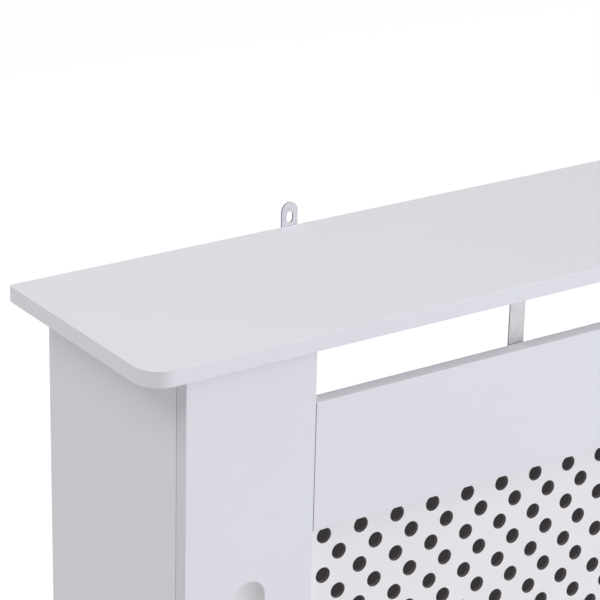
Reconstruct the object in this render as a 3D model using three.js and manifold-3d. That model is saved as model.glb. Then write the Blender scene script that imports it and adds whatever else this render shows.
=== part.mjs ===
// A radiator cover cabinet: an overhanging shelf on two side panels, a front frame of two
// fluted stiles and two rails, and a perforated grille panel behind the frame.
// Millimetres, +Z up. The front faces -Y and the wall side is +Y. The origin is on the
// floor, in the middle of the cabinet's width and of its depth.

import * as THREE from 'three';
import { mergeVertices } from 'three/addons/utils/BufferGeometryUtils.js';
import Module from 'manifold-3d';

// ---------------------------------------------------------------- driving dimensions

const coverHeight = 815; // floor to the top of the shelf
const seatGap = 0.3; // left between any two pieces that touch
const cutSpare = 1; // how far a cut starts outside what it cuts
const arcSpare = 0.01; // keeps two arcs from meeting in one point

// Shelf
const shelfWidth = 1120;
const shelfDepth = 190;
const shelfThickness = 12;
const shelfFrontRadius = 20; // plan radius of the two front corners
const shelfRearRadius = 3; // plan radius of the two rear corners
const sideOverhang = 31.5; // shelf end to the outer face of a side panel
const frontOverhang = 5; // shelf front edge to the front of the frame

// Side panels
const sideThickness = 12;
const skirtingDepth = 20; // notch at the bottom rear corner, for a skirting board
const skirtingHeight = 100;

// Front frame
const stileWidth = 105;
const stileThickness = 12;
const railThickness = 12;
const topRailHeight = 98.5;
const bottomRailHeight = 98.5;
const warmAirGap = 40.5; // shelf underside to the top rail
const floorGap = 60; // floor to the bottom rail
const fluteWidth = 26; // cove flute routed down the middle of each stile
const fluteDepth = 3.5;
const fluteFromShelf = 163; // shelf underside to the flute's upper end
const fluteFromFloor = 163; // floor to the flute's lower end
const fluteSides = 48;
const fluteEndSteps = 12;

// Grille panel
const grilleThickness = 3;
const grilleOverRails = 18; // panel behind each rail
const grilleOverStiles = 15; // panel behind each stile
const holeDiameter = 29.6; // each opening stands for a patch of 12 mm holes, just as open
const holeColumnPitch = 69;
const holeRowPitch = 41;
const holeStagger = 34.5; // sideways shift of every second row
const holeFromStile = 26.5; // stile edge to the first hole's centre, along a row
const holeFromRail = 27; // rail edge to the first and last rows' centres
const holeSides = 10;

// Straps that carry the top rail from the shelf
const strapWidth = 14;
const strapThickness = 1.2;
const strapFromSide = 290.1; // side panel's outer face to the strap's middle
const strapOnRail = 60; // length against the rail's rear face
const strapOnShelf = 45; // length against the shelf's underside
const strapEndRadius = 3;
const strapRailScrews = [15, 45]; // screw centres below the rail's top edge
const strapShelfScrews = [20, 36]; // screw centres behind the rail's rear face

// Brackets that hold the cover to the wall
const bracketWidth = 14.4;
const bracketThickness = 1.5;
const bracketFromSide = 207.8; // side panel's outer face to the bracket's middle
const bracketRise = 18.5; // height above the shelf
const bracketOnShelf = 42; // length against the shelf's underside
const bracketLegRadius = 3;
const bracketShelfScrews = [16, 33]; // screw centres in front of the shelf's rear edge
const bracketSlotWidth = 5.5;
const bracketSlotLength = 9;
const bracketSlotRise = 6.7; // slot's middle above the shelf
const bendRadius = 0.6; // inner radius of every bend in the strip
const bendSteps = 4;
const cornerSteps = 6; // flats round a quarter of a board's or a strip's corner

// Pan-head screws
const screwShank = 3.5;
const screwHead = 7;
const screwHeadHeight = 2.2;
const screwRimHeight = 0.88; // the head's upright edge
const screwCrownDiameter = 4.9; // where the head's dome flattens
const screwCrownHeight = 1.87;
const screwReach = 7.5; // length in the board
const screwSides = 8;
const grilleScrewColumns = [-350, 0, 350]; // along each rail

// Cam locks
const camDiameter = 12;
const camLength = 9.5;
const camFromEdge = 24; // panel edge to the cam's middle
const camSides = 16;
const camArcSteps = 8;
const camChamberRadius = 5.2; // inside of the cam's rim
const camCoreRadius = 1.8;
const camChamberHeight = 4.8;
const camSlotHeight = 2.8;
const camChamberEnd = 228; // degrees of the rim that the chamber follows
const camEntranceSpare = 0.4; // past the end of the bolt's head
const camCrossLength = 7;
const camCrossWidth = 1.2;
const camCrossDepth = 1.8;
const stileCamFromFloor = 100;
const stileCamFromShelf = 103; // shelf underside to the upper cam's middle
const shelfCamInsets = [45, 45]; // from the side panel's front and rear edges

// Cam bolts
const boltThread = 5;
const boltThreadLength = 9;
const boltShank = 4;
const boltNeck = 2.2;
const boltHeadDiameter = 4;
const boltHeadInner = 2.4; // cam's middle to the end of the head
const boltHeadOuter = 4.4; // cam's middle to the underside of the head
const boltNeckEnd = 6.8; // cam's middle to the end of the neck
const boltSides = 8;

// Dowels between the rails and the stiles
const dowelDiameter = 6;
const dowelLength = 30;
const dowelChamfer = 1;
const dowelSpacing = 56;
const dowelSides = 8;

// ---------------------------------------------------------------- levels worked out from them

const overallDepth = shelfDepth + seatGap + bracketThickness;
const shelfFrontY = -overallDepth / 2;
const shelfRearY = shelfFrontY + shelfDepth;
const wallY = overallDepth / 2;
const frameFrontY = shelfFrontY + frontOverhang;
const sideFrontY = frameFrontY + stileThickness + seatGap;
const railRearY = frameFrontY + railThickness;
const grilleFrontY = frameFrontY + Math.max(railThickness, stileThickness) + seatGap;

const shelfUnderZ = coverHeight - shelfThickness;
const boardTopZ = shelfUnderZ - seatGap;
const topRailTopZ = shelfUnderZ - warmAirGap;
const topRailBottomZ = topRailTopZ - topRailHeight;
const bottomRailTopZ = floorGap + bottomRailHeight;

const bodyHalf = shelfWidth / 2 - sideOverhang;
const sideInnerX = bodyHalf - sideThickness;
const sideMiddleX = bodyHalf - sideThickness / 2;
const openingHalf = bodyHalf - stileWidth;
const railHalf = openingHalf - seatGap;
const strapX = bodyHalf - strapFromSide;
const bracketX = bodyHalf - bracketFromSide;

// ---------------------------------------------------------------- finishes

const paint = new THREE.MeshStandardMaterial({ color: '#dcdce2', roughness: 0.45, metalness: 0 });
const grillePaint = new THREE.MeshStandardMaterial({ color: '#e6e6e8', roughness: 0.5, metalness: 0 });
const zincStrip = new THREE.MeshStandardMaterial({ color: '#c4c6c8', roughness: 0.35, metalness: 1 });
const screwSteel = new THREE.MeshStandardMaterial({ color: '#b4b6ba', roughness: 0.3, metalness: 1 });
const camZinc = new THREE.MeshStandardMaterial({ color: '#9a9ca0', roughness: 0.5, metalness: 1 });
const beech = new THREE.MeshStandardMaterial({ color: '#caa77a', roughness: 0.7, metalness: 0 });

// ---------------------------------------------------------------- solids

const wasm = await Module();
wasm.setup();

const xAxis = new THREE.Vector3(1, 0, 0);
const yAxis = new THREE.Vector3(0, 1, 0);
const zAxis = new THREE.Vector3(0, 0, 1);

function solid(geometry) {
  const bare = geometry.clone();
  bare.deleteAttribute('normal');
  bare.deleteAttribute('uv');
  const merged = mergeVertices(bare, 1e-4);
  return new wasm.Manifold(new wasm.Mesh({
    numProp: 3,
    vertProperties: new Float32Array(merged.attributes.position.array),
    triVerts: new Uint32Array(merged.index.array),
  }));
}

function geometryOf(body) {
  const { vertProperties, triVerts } = body.getMesh();
  const geometry = new THREE.BufferGeometry();
  geometry.setAttribute('position', new THREE.BufferAttribute(vertProperties, 3));
  geometry.setIndex(new THREE.BufferAttribute(triVerts, 1));
  return geometry;
}

// A box from its low and high corners.
function block(low, high) {
  const geometry = new THREE.BoxGeometry(high[0] - low[0], high[1] - low[1], high[2] - low[2]);
  geometry.translate((low[0] + high[0]) / 2, (low[1] + high[1]) / 2, (low[2] + high[2]) / 2);
  return solid(geometry);
}

// A turned body: the profile's [radius, distance] pairs run along the given direction.
function turned(profile, sides, start, direction) {
  const points = profile.map(([radius, distance]) => new THREE.Vector2(radius, distance));
  const geometry = new THREE.LatheGeometry(points, sides);
  geometry.applyQuaternion(new THREE.Quaternion().setFromUnitVectors(yAxis, direction));
  geometry.translate(start.x, start.y, start.z);
  return solid(geometry);
}

// A round hole or rod whose flats, not its corners, lie at the radius.
function drill(radius, sides, start, direction, length) {
  const corner = radius / Math.cos(Math.PI / sides);
  return turned([[0, 0], [corner, 0], [corner, length], [0, length]], sides, start, direction);
}

// A flat shape in the plane of two axes, pushed out along the third.
function extruded(shape, depth, across, up, curveSegments = cornerSteps) {
  const geometry = new THREE.ExtrudeGeometry(shape, { depth, bevelEnabled: false, curveSegments });
  const out = new THREE.Vector3().crossVectors(across, up);
  geometry.applyMatrix4(new THREE.Matrix4().makeBasis(across, up, out));
  return geometry;
}

// A rectangle from (x0, y0) to (x1, y1) with its own radius at the low and at the high y.
function roundedRectangle(x0, y0, x1, y1, lowRadius, highRadius) {
  const shape = new THREE.Shape();
  shape.moveTo(x0 + lowRadius, y0);
  shape.lineTo(x1 - lowRadius, y0);
  shape.absarc(x1 - lowRadius, y0 + lowRadius, lowRadius, -Math.PI / 2, 0, false);
  shape.lineTo(x1, y1 - highRadius);
  shape.absarc(x1 - highRadius, y1 - highRadius, highRadius, 0, Math.PI / 2, false);
  shape.lineTo(x0 + highRadius, y1);
  shape.absarc(x0 + highRadius, y1 - highRadius, highRadius, Math.PI / 2, Math.PI, false);
  shape.lineTo(x0, y0 + lowRadius);
  shape.absarc(x0 + lowRadius, y0 + lowRadius, lowRadius, Math.PI, Math.PI * 1.5, false);
  return shape;
}

const cabinet = new THREE.Group();

function place(name, geometry, material) {
  const mesh = new THREE.Mesh(geometry, material);
  mesh.name = name;
  cabinet.add(mesh);
  return mesh;
}

// Each hand of the cabinet: its name and the sign of its X.
const hands = [['left', -1], ['right', 1]];

// ---------------------------------------------------------------- places of the fasteners

const screwHoleRadius = screwShank / 2 + seatGap;
const screwPlaces = []; // {name, seat, into, through}: head seat, direction into the board

for (const [hand, side] of hands) {
  strapRailScrews.forEach((drop, i) => {
    const seat = new THREE.Vector3(side * strapX, railRearY + seatGap + strapThickness, topRailTopZ - drop);
    screwPlaces.push({ name: `${hand}_strap_rail_screw_${i + 1}`, seat, into: yAxis.clone().negate(),
      through: strapThickness, board: 'top_rail', sheet: `${hand}_shelf_strap` });
  });
  strapShelfScrews.forEach((inset, i) => {
    const seat = new THREE.Vector3(side * strapX, railRearY + inset, shelfUnderZ - seatGap - strapThickness);
    screwPlaces.push({ name: `${hand}_strap_shelf_screw_${i + 1}`, seat, into: zAxis,
      through: strapThickness, board: 'top_shelf', sheet: `${hand}_shelf_strap` });
  });
  bracketShelfScrews.forEach((inset, i) => {
    const seat = new THREE.Vector3(side * bracketX, shelfRearY - inset, shelfUnderZ - seatGap - bracketThickness);
    screwPlaces.push({ name: `${hand}_bracket_screw_${i + 1}`, seat, into: zAxis,
      through: bracketThickness, board: 'top_shelf', sheet: `${hand}_wall_bracket` });
  });
}

const grilleRearY = grilleFrontY + grilleThickness;
const grilleRailRows = [
  ['top', topRailBottomZ + grilleOverRails / 2, 'top_rail'],
  ['bottom', bottomRailTopZ - grilleOverRails / 2, 'bottom_rail'],
];
for (const [row, height, board] of grilleRailRows) {
  grilleScrewColumns.forEach((x, i) => {
    screwPlaces.push({ name: `grille_${row}_screw_${i + 1}`, seat: new THREE.Vector3(x, grilleRearY, height),
      into: yAxis.clone().negate(), through: grilleThickness, board, sheet: 'grille_panel' });
  });
}
for (const [hand, side] of hands) {
  const seat = new THREE.Vector3(side * (openingHalf + grilleOverStiles / 2), grilleRearY,
    (topRailBottomZ + bottomRailTopZ) / 2);
  screwPlaces.push({ name: `grille_${hand}_screw`, seat, into: yAxis.clone().negate(),
    through: grilleThickness, board: `${hand}_stile`, sheet: 'grille_panel' });
}

// Blind screw holes in a board, and clear holes in the sheet that the screws hold.
function screwHoles(key, node) {
  return screwPlaces.filter((screw) => screw[key] === node).map((screw) => {
    const length = screw.through + screwReach + 2 * seatGap + cutSpare;
    const start = screw.seat.clone().addScaledVector(screw.into, -cutSpare);
    return drill(screwHoleRadius, screwSides, start, screw.into, length);
  });
}

// Each cam: its middle on the panel's inner face, and the way its bolt points.
const camPlaces = [];
const stileCamHeights = [stileCamFromFloor, shelfUnderZ - stileCamFromShelf];
for (const [hand, side] of hands) {
  stileCamHeights.forEach((height, i) => {
    const middle = new THREE.Vector3(side * sideInnerX, sideFrontY + camFromEdge, height);
    camPlaces.push({ name: `${hand}_stile_cam`, number: i + 1, hand, side, middle,
      bolt: yAxis.clone().negate(), board: `${hand}_stile` });
  });
  const shelfCamRows = [sideFrontY + shelfCamInsets[0], shelfRearY - shelfCamInsets[1]];
  shelfCamRows.forEach((y, i) => {
    const middle = new THREE.Vector3(side * sideInnerX, y, boardTopZ - camFromEdge);
    camPlaces.push({ name: `${hand}_shelf_cam`, number: i + 1, hand, side, middle,
      bolt: zAxis.clone(), board: 'top_shelf' });
  });
}

// The middle of the panel's thickness behind a cam, where the bolt's axis runs.
function boltCentre(cam) {
  return cam.middle.clone().setX(cam.side * sideMiddleX);
}

function boltHoles(node) {
  return camPlaces.filter((cam) => cam.board === node).map((cam) => {
    const start = boltCentre(cam).addScaledVector(cam.bolt, camFromEdge);
    return drill(boltThread / 2 + seatGap, boltSides, start, cam.bolt, boltThreadLength + 3 * seatGap);
  });
}

function cutAll(body, tools) {
  return tools.reduce((left, tool) => left.subtract(tool), body);
}

// ---------------------------------------------------------------- boards

function topShelf() {
  const outline = roundedRectangle(-shelfWidth / 2, shelfFrontY, shelfWidth / 2, shelfRearY,
    shelfFrontRadius, shelfRearRadius);
  const geometry = extruded(outline, shelfThickness, xAxis, yAxis);
  geometry.translate(0, 0, shelfUnderZ);
  return cutAll(solid(geometry), [...screwHoles('board', 'top_shelf'), ...boltHoles('top_shelf')]);
}

function sidePanel(hand, side) {
  const innerX = side * sideInnerX;
  const outerX = side * bodyHalf;
  const low = Math.min(innerX, outerX);
  const high = Math.max(innerX, outerX);
  const board = block([low, sideFrontY, 0], [high, shelfRearY, boardTopZ]);
  const notch = block([low - cutSpare, shelfRearY - skirtingDepth, -cutSpare],
    [high + cutSpare, shelfRearY + cutSpare, skirtingHeight]);
  const inwards = xAxis.clone().multiplyScalar(-side);
  const tools = [notch];
  for (const cam of camPlaces.filter((each) => each.hand === hand)) {
    const mouth = cam.middle.clone().addScaledVector(inwards, cutSpare);
    const depth = camLength + seatGap + cutSpare;
    tools.push(drill(camDiameter / 2 + seatGap, camSides, mouth, inwards.clone().negate(), depth));
    tools.push(drill(boltShank / 2 + seatGap, boltSides, boltCentre(cam), cam.bolt, camFromEdge + cutSpare));
  }
  return cutAll(board, tools);
}

function dowelPlaces(railMiddleZ) {
  return [-dowelSpacing / 2, dowelSpacing / 2].map((shift) => railMiddleZ + shift);
}

const railMiddles = {
  top: topRailTopZ - topRailHeight / 2,
  bottom: floorGap + bottomRailHeight / 2,
};
const dowelY = frameFrontY + railThickness / 2;

// Holes for the dowels of one rail, on one hand, deep enough for half a dowel each way.
function dowelHoles(side, railMiddleZ) {
  const reach = dowelLength / 2 + seatGap;
  return dowelPlaces(railMiddleZ).map((z) => {
    const start = new THREE.Vector3(side * (openingHalf - seatGap / 2) - reach - seatGap, dowelY, z);
    return drill(dowelDiameter / 2 + seatGap, dowelSides, start, xAxis, 2 * (reach + seatGap));
  });
}

// The flute is a long round-ended cutter sunk into the face by its depth.
function fluteCutter(stileMiddleX) {
  const radius = ((fluteWidth / 2) ** 2 + fluteDepth ** 2) / (2 * fluteDepth);
  const upperZ = shelfUnderZ - fluteFromShelf - fluteWidth / 2;
  const lowerZ = fluteFromFloor + fluteWidth / 2;
  const geometry = new THREE.CapsuleGeometry(radius, upperZ - lowerZ, fluteEndSteps, fluteSides);
  geometry.rotateX(Math.PI / 2);
  geometry.translate(stileMiddleX, frameFrontY + fluteDepth - radius, (upperZ + lowerZ) / 2);
  return solid(geometry);
}

function stile(hand, side) {
  const outerX = side * bodyHalf;
  const innerX = side * openingHalf;
  const board = block([Math.min(innerX, outerX), frameFrontY, 0],
    [Math.max(innerX, outerX), frameFrontY + stileThickness, boardTopZ]);
  const tools = [fluteCutter(side * (bodyHalf - stileWidth / 2)), ...boltHoles(`${hand}_stile`),
    ...screwHoles('board', `${hand}_stile`)];
  for (const middle of Object.values(railMiddles)) {
    tools.push(...dowelHoles(side, middle));
  }
  return cutAll(board, tools);
}

function rail(name, bottomZ, topZ) {
  const board = block([-railHalf, frameFrontY, bottomZ], [railHalf, railRearY, topZ]);
  const middle = (bottomZ + topZ) / 2;
  return cutAll(board, [...dowelHoles(-1, middle), ...dowelHoles(1, middle), ...screwHoles('board', name)]);
}

// ---------------------------------------------------------------- grille panel

function grillePanel() {
  const halfWidth = openingHalf + grilleOverStiles;
  const lowZ = bottomRailTopZ - grilleOverRails;
  const highZ = topRailBottomZ + grilleOverRails;
  const sheet = new THREE.Shape();
  sheet.moveTo(-halfWidth, lowZ);
  sheet.lineTo(halfWidth, lowZ);
  sheet.lineTo(halfWidth, highZ);
  sheet.lineTo(-halfWidth, highZ);
  sheet.closePath();

  const firstX = -openingHalf + holeFromStile;
  const lastX = openingHalf - holeFromStile;
  const firstZ = topRailBottomZ - holeFromRail;
  const lastZ = bottomRailTopZ + holeFromRail;
  let row = 0;
  for (let z = firstZ; z >= lastZ; z -= holeRowPitch) {
    const start = firstX + (row % 2 === 0 ? 0 : holeStagger);
    for (let x = start; x <= lastX; x += holeColumnPitch) {
      const hole = new THREE.Path();
      for (let corner = 0; corner < holeSides; corner += 1) {
        const turn = -2 * Math.PI * corner / holeSides;
        const px = x + holeDiameter / 2 * Math.cos(turn);
        const pz = z + holeDiameter / 2 * Math.sin(turn);
        if (corner === 0) hole.moveTo(px, pz);
        else hole.lineTo(px, pz);
      }
      hole.closePath();
      sheet.holes.push(hole);
    }
    row += 1;
  }
  // X across and Z up push the sheet out along -Y, so it starts at its rear face.
  const geometry = extruded(sheet, grilleThickness, xAxis, zAxis);
  geometry.translate(0, grilleRearY, 0);
  return cutAll(solid(geometry), screwHoles('sheet', 'grille_panel'));
}

// ---------------------------------------------------------------- bent strip

// An angle of flat strip. Its outer corner is at the origin, one leg runs along +u and one
// along +v, and the strip is as wide as given, about the middle of the third axis.
function angleStrip(width, thickness, uLength, vLength, uRadius, vRadius, u, v) {
  const across = new THREE.Vector3().crossVectors(u, v);
  const outer = bendRadius + thickness;
  const profile = new THREE.Shape();
  profile.moveTo(outer, 0);
  profile.lineTo(uLength, 0);
  profile.lineTo(uLength, thickness);
  profile.lineTo(outer, thickness);
  profile.absarc(outer, outer, bendRadius, -Math.PI / 2, -Math.PI, true);
  profile.lineTo(thickness, vLength);
  profile.lineTo(0, vLength);
  profile.lineTo(0, outer);
  profile.absarc(outer, outer, outer, -Math.PI, -Math.PI / 2, false);
  const strip = extruded(profile, width, u, v, bendSteps);
  const shift = across.clone().multiplyScalar(-width / 2);
  strip.translate(shift.x, shift.y, shift.z);

  // The free ends are rounded by outlines seen square to each leg.
  const half = width / 2;
  const below = -2 * outer;
  const uOutline = roundedRectangle(-half, below, half, uLength, 0, uRadius);
  const vOutline = roundedRectangle(-half, below, half, vLength, 0, vRadius);
  const uCut = extruded(uOutline, 2 * vLength + 8 * outer, across, u);
  const vCut = extruded(vOutline, 2 * uLength + 8 * outer, across, v);
  const uOut = new THREE.Vector3().crossVectors(across, u).multiplyScalar(-vLength - 4 * outer);
  const vOut = new THREE.Vector3().crossVectors(across, v).multiplyScalar(-uLength - 4 * outer);
  uCut.translate(uOut.x, uOut.y, uOut.z);
  vCut.translate(vOut.x, vOut.y, vOut.z);
  return solid(strip).intersect(solid(uCut)).intersect(solid(vCut));
}

function shelfStrap(hand, side) {
  const drop = warmAirGap + strapOnRail - seatGap;
  const strip = angleStrip(strapWidth, strapThickness, strapOnShelf, drop, strapEndRadius, strapEndRadius,
    yAxis, zAxis.clone().negate());
  const seated = strip.translate([side * strapX, railRearY + seatGap, shelfUnderZ - seatGap]);
  return cutAll(seated, screwHoles('sheet', `${hand}_shelf_strap`));
}

function wallBracket(hand, side) {
  const underside = shelfUnderZ - seatGap - bracketThickness;
  const rise = coverHeight + bracketRise - underside;
  const strip = angleStrip(bracketWidth, bracketThickness, bracketOnShelf, rise, bracketLegRadius,
    bracketWidth / 2 - arcSpare, yAxis.clone().negate(), zAxis);
  const seated = strip.translate([side * bracketX, wallY, underside]);
  const halfSlot = bracketSlotWidth / 2;
  const slotOutline = roundedRectangle(-halfSlot, -bracketSlotLength / 2, halfSlot, bracketSlotLength / 2,
    halfSlot - arcSpare, halfSlot - arcSpare);
  const slot = extruded(slotOutline, 4 * bracketThickness, xAxis, zAxis, bendSteps);
  slot.translate(side * bracketX, wallY + bracketThickness, coverHeight + bracketSlotRise);
  return cutAll(seated, [solid(slot), ...screwHoles('sheet', `${hand}_wall_bracket`)]);
}

// ---------------------------------------------------------------- fasteners

function screw({ seat, into, through }) {
  const length = through + screwReach + seatGap;
  const away = into.clone().negate();
  const profile = [
    [0, -length],
    [screwShank / 2, -length + screwShank / 2],
    [screwShank / 2, 0],
    [screwHead / 2, 0],
    [screwHead / 2, screwRimHeight],
    [screwCrownDiameter / 2, screwCrownHeight],
    [0, screwHeadHeight],
  ];
  return turned(profile, screwSides, seat.clone().addScaledVector(away, seatGap), away);
}

// A sector of a ring about Z, from one height to another, starting at the +X direction.
function ringSector(innerRadius, outerRadius, degrees, lowZ, highZ) {
  const end = THREE.MathUtils.degToRad(degrees);
  const shape = new THREE.Shape();
  shape.moveTo(innerRadius, 0);
  shape.lineTo(outerRadius, 0);
  shape.absarc(0, 0, outerRadius, 0, end, false);
  shape.absarc(0, 0, innerRadius, end, 0, true);
  const geometry = extruded(shape, highZ - lowZ, xAxis, yAxis, camArcSteps);
  geometry.translate(0, 0, lowZ);
  return solid(geometry);
}

// The cam's open face is at z = 0, and its bolt lies half a panel below, along -X when locked.
function camGeometry() {
  const radius = camDiameter / 2;
  const boltZ = -sideThickness / 2;
  const chamberLow = boltZ - camChamberHeight / 2;
  const chamberHigh = boltZ + camChamberHeight / 2;
  const slotLow = boltZ - camSlotHeight / 2;
  const slotHigh = boltZ + camSlotHeight / 2;
  const disc = new THREE.CylinderGeometry(radius, radius, camLength, camSides);
  disc.rotateX(Math.PI / 2);
  disc.translate(0, 0, -camLength / 2);
  const halfCross = camCrossLength / 2;
  const halfBlade = camCrossWidth / 2;
  const entrance = camChamberHeight / 2;
  const body = cutAll(solid(disc), [
    ringSector(camCoreRadius, camChamberRadius, camChamberEnd, chamberLow, chamberHigh),
    ringSector(camCoreRadius, radius + cutSpare, camChamberEnd, slotLow, slotHigh),
    block([boltHeadInner - camEntranceSpare, -entrance, chamberLow],
      [radius + cutSpare, entrance, chamberHigh]),
    block([-halfCross, -halfBlade, -camCrossDepth], [halfCross, halfBlade, cutSpare]),
    block([-halfBlade, -halfCross, -camCrossDepth], [halfBlade, halfCross, cutSpare]),
  ]);
  return geometryOf(body);
}

const camShape = camGeometry();

function cam({ name, number, side, middle, bolt }) {
  const mesh = place(`${name}_${number}`, camShape, camZinc);
  const outOfPanel = xAxis.clone().multiplyScalar(-side);
  const entrance = bolt.clone().negate();
  const third = new THREE.Vector3().crossVectors(outOfPanel, entrance);
  mesh.quaternion.setFromRotationMatrix(new THREE.Matrix4().makeBasis(entrance, third, outOfPanel));
  mesh.position.copy(middle);
}

function camBolt(lock) {
  const threadStart = camFromEdge + seatGap;
  const profile = [
    [0, boltHeadInner],
    [boltHeadDiameter / 2, boltHeadInner],
    [boltHeadDiameter / 2, boltHeadOuter],
    [boltNeck / 2, boltHeadOuter],
    [boltNeck / 2, boltNeckEnd],
    [boltShank / 2, boltNeckEnd],
    [boltShank / 2, threadStart],
    [boltThread / 2, threadStart],
    [boltThread / 2, threadStart + boltThreadLength],
    [0, threadStart + boltThreadLength],
  ];
  return turned(profile, boltSides, boltCentre(lock), lock.bolt);
}

function dowel(side, z) {
  const half = dowelLength / 2;
  const tip = dowelDiameter / 2 - dowelChamfer;
  const profile = [
    [0, -half],
    [tip, -half],
    [dowelDiameter / 2, -half + dowelChamfer],
    [dowelDiameter / 2, half - dowelChamfer],
    [tip, half],
    [0, half],
  ];
  return turned(profile, dowelSides, new THREE.Vector3(side * (openingHalf - seatGap / 2), dowelY, z), xAxis);
}

// ---------------------------------------------------------------- assembly

place('top_shelf', geometryOf(topShelf()), paint);
place('top_rail', geometryOf(rail('top_rail', topRailBottomZ, topRailTopZ)), paint);
place('bottom_rail', geometryOf(rail('bottom_rail', floorGap, bottomRailTopZ)), paint);
place('grille_panel', geometryOf(grillePanel()), grillePaint);

for (const [hand, side] of hands) {
  place(`${hand}_side_panel`, geometryOf(sidePanel(hand, side)), paint);
  place(`${hand}_stile`, geometryOf(stile(hand, side)), paint);
  place(`${hand}_shelf_strap`, geometryOf(shelfStrap(hand, side)), zincStrip);
  place(`${hand}_wall_bracket`, geometryOf(wallBracket(hand, side)), zincStrip);
  for (const [row, middle] of Object.entries(railMiddles)) {
    dowelPlaces(middle).forEach((z, i) => {
      place(`${hand}_${row}_dowel_${i + 1}`, geometryOf(dowel(side, z)), beech);
    });
  }
}

for (const each of screwPlaces) {
  place(each.name, geometryOf(screw(each)), screwSteel);
}

for (const each of camPlaces) {
  cam(each);
  place(`${each.name}_bolt_${each.number}`, geometryOf(camBolt(each)), screwSteel);
}

export default cabinet;
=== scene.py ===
import math

import bmesh
import bpy
from mathutils import Matrix, Vector


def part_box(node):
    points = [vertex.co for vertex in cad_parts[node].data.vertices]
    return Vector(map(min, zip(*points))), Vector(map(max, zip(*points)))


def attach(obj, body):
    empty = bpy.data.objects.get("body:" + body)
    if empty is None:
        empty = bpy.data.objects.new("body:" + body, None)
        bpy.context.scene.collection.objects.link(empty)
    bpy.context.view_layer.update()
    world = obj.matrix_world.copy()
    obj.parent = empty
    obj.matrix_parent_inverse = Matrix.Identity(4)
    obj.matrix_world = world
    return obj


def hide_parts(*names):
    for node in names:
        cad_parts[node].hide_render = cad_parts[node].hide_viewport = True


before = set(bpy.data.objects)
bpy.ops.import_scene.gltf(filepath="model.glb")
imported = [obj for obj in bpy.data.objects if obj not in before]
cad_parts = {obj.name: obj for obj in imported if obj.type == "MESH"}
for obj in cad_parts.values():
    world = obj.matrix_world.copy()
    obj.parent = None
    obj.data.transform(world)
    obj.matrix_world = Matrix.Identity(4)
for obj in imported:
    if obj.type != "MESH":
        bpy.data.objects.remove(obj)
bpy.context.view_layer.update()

mm = 0.001
scene = bpy.context.scene
hands = ("left", "right")
allNodes = sorted(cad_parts)
screwNodes = [n for n in allNodes if "screw" in n]
boltNodes = [n for n in allNodes if "cam_bolt" in n]
dowelNodes = [n for n in allNodes if "dowel" in n]
camNodes = [n for n in allNodes if "_cam_" in n and n not in boltNodes]


# how the camera of the photograph stood, solved from the cabinet's edges and hole centres
photoCamera = {
    "place": (-1.3128, -1.3374, 1.4422),  # metres, in the cabinet's own frame
    "turn": 35.020,  # degrees from straight at the wall towards the right
    "dip": 21.539,  # degrees down
    "roll": -1.401,
    "focalPixels": 2453.1,
    "imagePixels": 600,
    "sensor": 36.0,
    "farEnd": 100.0,  # how far it sees, metres
}


def setCamera(values):
    turn, dip, roll = (math.radians(values[key]) for key in ("turn", "dip", "roll"))
    ahead = Vector((math.sin(turn) * math.cos(dip), math.cos(turn) * math.cos(dip),
                    -math.sin(dip)))
    across = ahead.cross(Vector((0, 0, 1))).normalized()
    down = ahead.cross(across)
    right = across * math.cos(roll) + down * math.sin(roll)
    up = across * math.sin(roll) - down * math.cos(roll)
    lens = bpy.data.cameras.new("photoLens")
    lens.sensor_width = values["sensor"]
    lens.lens = values["focalPixels"] / values["imagePixels"] * values["sensor"]
    lens.clip_end = values["farEnd"]
    camera = bpy.data.objects.new("photoCamera", lens)
    axes = Matrix((right, up, -ahead)).transposed().to_4x4()
    camera.matrix_world = Matrix.Translation(values["place"]) @ axes
    scene.collection.objects.link(camera)
    scene.camera = camera


setCamera(photoCamera)
print("camera set")


# ---- materials

def paint(code):  # an sRGB hex colour as linear RGBA
    channels = [int(code[i:i + 2], 16) / 255 for i in (1, 3, 5)]
    return [c / 12.92 if c <= 0.04045 else ((c + 0.055) / 1.055) ** 2.4 for c in channels] + [1.0]


def addNode(tree, kind, inputs=None, **settings):
    node = tree.nodes.new(kind)
    for name, value in settings.items():
        setattr(node, name, value)
    for name, value in (inputs or {}).items():
        if isinstance(value, bpy.types.NodeSocket):
            tree.links.new(value, node.inputs[name])
        else:
            node.inputs[name].default_value = value
    return node


def mathNode(tree, operation, first, second):
    return addNode(tree, "ShaderNodeMath", {0: first, 1: second}, operation=operation).outputs[0]


def newMaterial(name):
    material = bpy.data.materials.new(name)
    material.use_nodes = True
    material.node_tree.nodes.clear()
    return material, material.node_tree


def finishMaterial(tree, shader):
    addNode(tree, "ShaderNodeOutputMaterial", {"Surface": shader.outputs[0]})


def perMetre(size):  # texture scale whose pattern repeats about every size, in mm
    return 1 / (size * mm)


def objectPlace(tree):
    return addNode(tree, "ShaderNodeTexCoord").outputs["Object"]


def noiseAt(tree, place, size, detail, **more):  # a random pattern about this size, in mm
    given = {"Vector": place, "Scale": perMetre(size), "Detail": detail, **more}
    return addNode(tree, "ShaderNodeTexNoise", given).outputs["Fac"]


def shadeToColour(tree, factor, values):
    tone = addNode(tree, "ShaderNodeMix", {"Factor": factor}, data_type="RGBA")
    tone.inputs[6].default_value = paint(values["shade"])
    tone.inputs[7].default_value = paint(values["colour"])
    return tone.outputs[2]


def ramp(tree, factor, *stops):  # each stop is a position and a colour
    tone = addNode(tree, "ShaderNodeValToRGB", {"Fac": factor})
    for i, (position, colour) in enumerate(stops):
        tone.color_ramp.elements[i].position = position
        tone.color_ramp.elements[i].color = paint(colour)
    return tone.outputs["Color"]


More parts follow.
